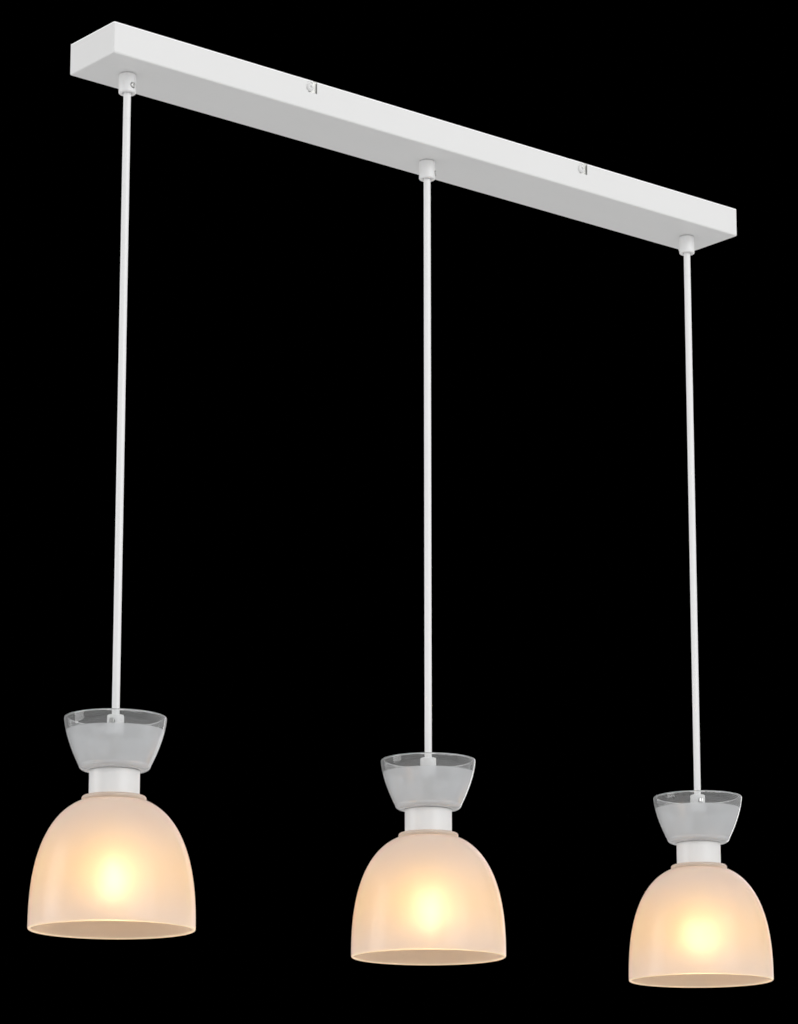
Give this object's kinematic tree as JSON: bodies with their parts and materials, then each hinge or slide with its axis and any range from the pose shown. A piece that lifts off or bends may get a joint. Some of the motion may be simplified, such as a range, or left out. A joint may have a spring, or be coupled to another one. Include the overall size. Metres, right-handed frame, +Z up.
{
  "type": "linear island pendant",
  "caption": "Linear pendant light: a white box canopy on the ceiling, with straight white cords that carry frosted glass dome lamps topped by small open glass bowls.",
  "frame": {"origin": "middle of the ceiling bracket's top face, on the ceiling, above the middle lamp", "axes": "+X along the canopy, +Y across it, away from the picture's camera, +Z up to the ceiling"},
  "size_m": [0.866, 0.146, 0.8225],
  "materials": {
    "canopy_white": "satin",
    "zinc_steel": "satin",
    "screw_steel": "satin",
    "grip_white": "satin",
    "cord_white": "satin",
    "block_white": "matte",
    "lead_brown": "satin",
    "lead_blue": "satin",
    "lead_green": "satin",
    "bowl_glass": "satin",
    "dome_glass": "satin",
    "holder_white": "satin",
    "contact_brass": "satin",
    "cap_metal": "satin",
    "bulb_glass": "gloss",
    "filament": "satin"
  },
  "bodies": {
    "ceiling_body": {"ceiling_bracket": "zinc_steel", "canopy": "canopy_white", "side_screws": "screw_steel", "canopy_grip_1": "grip_white", "canopy_grip_2": "grip_white", "canopy_grip_3": "grip_white", "grip_nuts": "grip_white", "canopy_set_screws": "grip_white", "cord_tails": "cord_white", "terminal_block": "block_white", "terminal_screws": "screw_steel", "earth_screw": "screw_steel", "live_leads": "lead_brown", "neutral_leads": "lead_blue", "earth_leads": "lead_green"},
    "neck_1": {"cord_bend_1": "cord_white"},
    "hanger_1": {"cord_1": "cord_white"},
    "lamp_1": {"lamp_grip_1": "grip_white", "lamp_set_screw_1": "grip_white", "stem_tube_1": "zinc_steel", "clamp_nut_1": "grip_white", "upper_glass_1": "bowl_glass", "lamp_cup_1": "canopy_white", "lampholder_1": "holder_white", "lamp_contacts_1": "contact_brass", "shade_ring_1": "holder_white", "lower_glass_1": "dome_glass"},
    "bulb_1": {"bulb_cap_1": "cap_metal", "bulb_glass_1": "bulb_glass", "bulb_filament_1": "filament"},
    "neck_2": {"cord_bend_2": "cord_white"},
    "hanger_2": {"cord_2": "cord_white"},
    "lamp_2": {"lamp_grip_2": "grip_white", "lamp_set_screw_2": "grip_white", "stem_tube_2": "zinc_steel", "clamp_nut_2": "grip_white", "upper_glass_2": "bowl_glass", "lamp_cup_2": "canopy_white", "lampholder_2": "holder_white", "lamp_contacts_2": "contact_brass", "shade_ring_2": "holder_white", "lower_glass_2": "dome_glass"},
    "bulb_2": {"bulb_cap_2": "cap_metal", "bulb_glass_2": "bulb_glass", "bulb_filament_2": "filament"},
    "neck_3": {"cord_bend_3": "cord_white"},
    "hanger_3": {"cord_3": "cord_white"},
    "lamp_3": {"lamp_grip_3": "grip_white", "lamp_set_screw_3": "grip_white", "stem_tube_3": "zinc_steel", "clamp_nut_3": "grip_white", "upper_glass_3": "bowl_glass", "lamp_cup_3": "canopy_white", "lampholder_3": "holder_white", "lamp_contacts_3": "contact_brass", "shade_ring_3": "holder_white", "lower_glass_3": "dome_glass"},
    "bulb_3": {"bulb_cap_3": "cap_metal", "bulb_glass_3": "bulb_glass", "bulb_filament_3": "filament"}
  },
  "joints": [
    {"name": "sway_1", "type": "hinge", "parent": "ceiling_body", "child": "neck_1", "pos_m": [-0.36, 0, -0.0499], "axis": [0, 1, 0], "range_deg": [-7, 7]},
    {"name": "swing_1", "type": "hinge", "parent": "neck_1", "child": "hanger_1", "pos_m": [-0.36, 0, -0.0639], "axis": [1, 0, 0], "range_deg": [-20, 20]},
    {"name": "height_1", "type": "slide", "parent": "hanger_1", "child": "lamp_1", "axis": [0, 0, 1], "range_m": [0, 0.25], "deforming": ["cord_1"]},
    {"name": "bulb_turn_1", "type": "hinge", "parent": "lamp_1", "child": "bulb_1", "pos_m": [-0.36, 0, -0.7735], "axis": [0, 0, 1], "range_deg": [0, 360]},
    {"name": "sway_2", "type": "hinge", "parent": "ceiling_body", "child": "neck_2", "pos_m": [0, 0, -0.0499], "axis": [0, 1, 0], "range_deg": [-7, 7]},
    {"name": "swing_2", "type": "hinge", "parent": "neck_2", "child": "hanger_2", "pos_m": [0, 0, -0.0639], "axis": [1, 0, 0], "range_deg": [-20, 20]},
    {"name": "height_2", "type": "slide", "parent": "hanger_2", "child": "lamp_2", "axis": [0, 0, 1], "range_m": [0, 0.25], "deforming": ["cord_2"]},
    {"name": "bulb_turn_2", "type": "hinge", "parent": "lamp_2", "child": "bulb_2", "pos_m": [0, 0, -0.7735], "axis": [0, 0, 1], "range_deg": [0, 360]},
    {"name": "sway_3", "type": "hinge", "parent": "ceiling_body", "child": "neck_3", "pos_m": [0.36, 0, -0.0499], "axis": [0, 1, 0], "range_deg": [-7, 7]},
    {"name": "swing_3", "type": "hinge", "parent": "neck_3", "child": "hanger_3", "pos_m": [0.36, 0, -0.0639], "axis": [1, 0, 0], "range_deg": [-20, 20]},
    {"name": "height_3", "type": "slide", "parent": "hanger_3", "child": "lamp_3", "axis": [0, 0, 1], "range_m": [0, 0.25], "deforming": ["cord_3"]},
    {"name": "bulb_turn_3", "type": "hinge", "parent": "lamp_3", "child": "bulb_3", "pos_m": [0.36, 0, -0.7735], "axis": [0, 0, 1], "range_deg": [0, 360]}
  ]
}
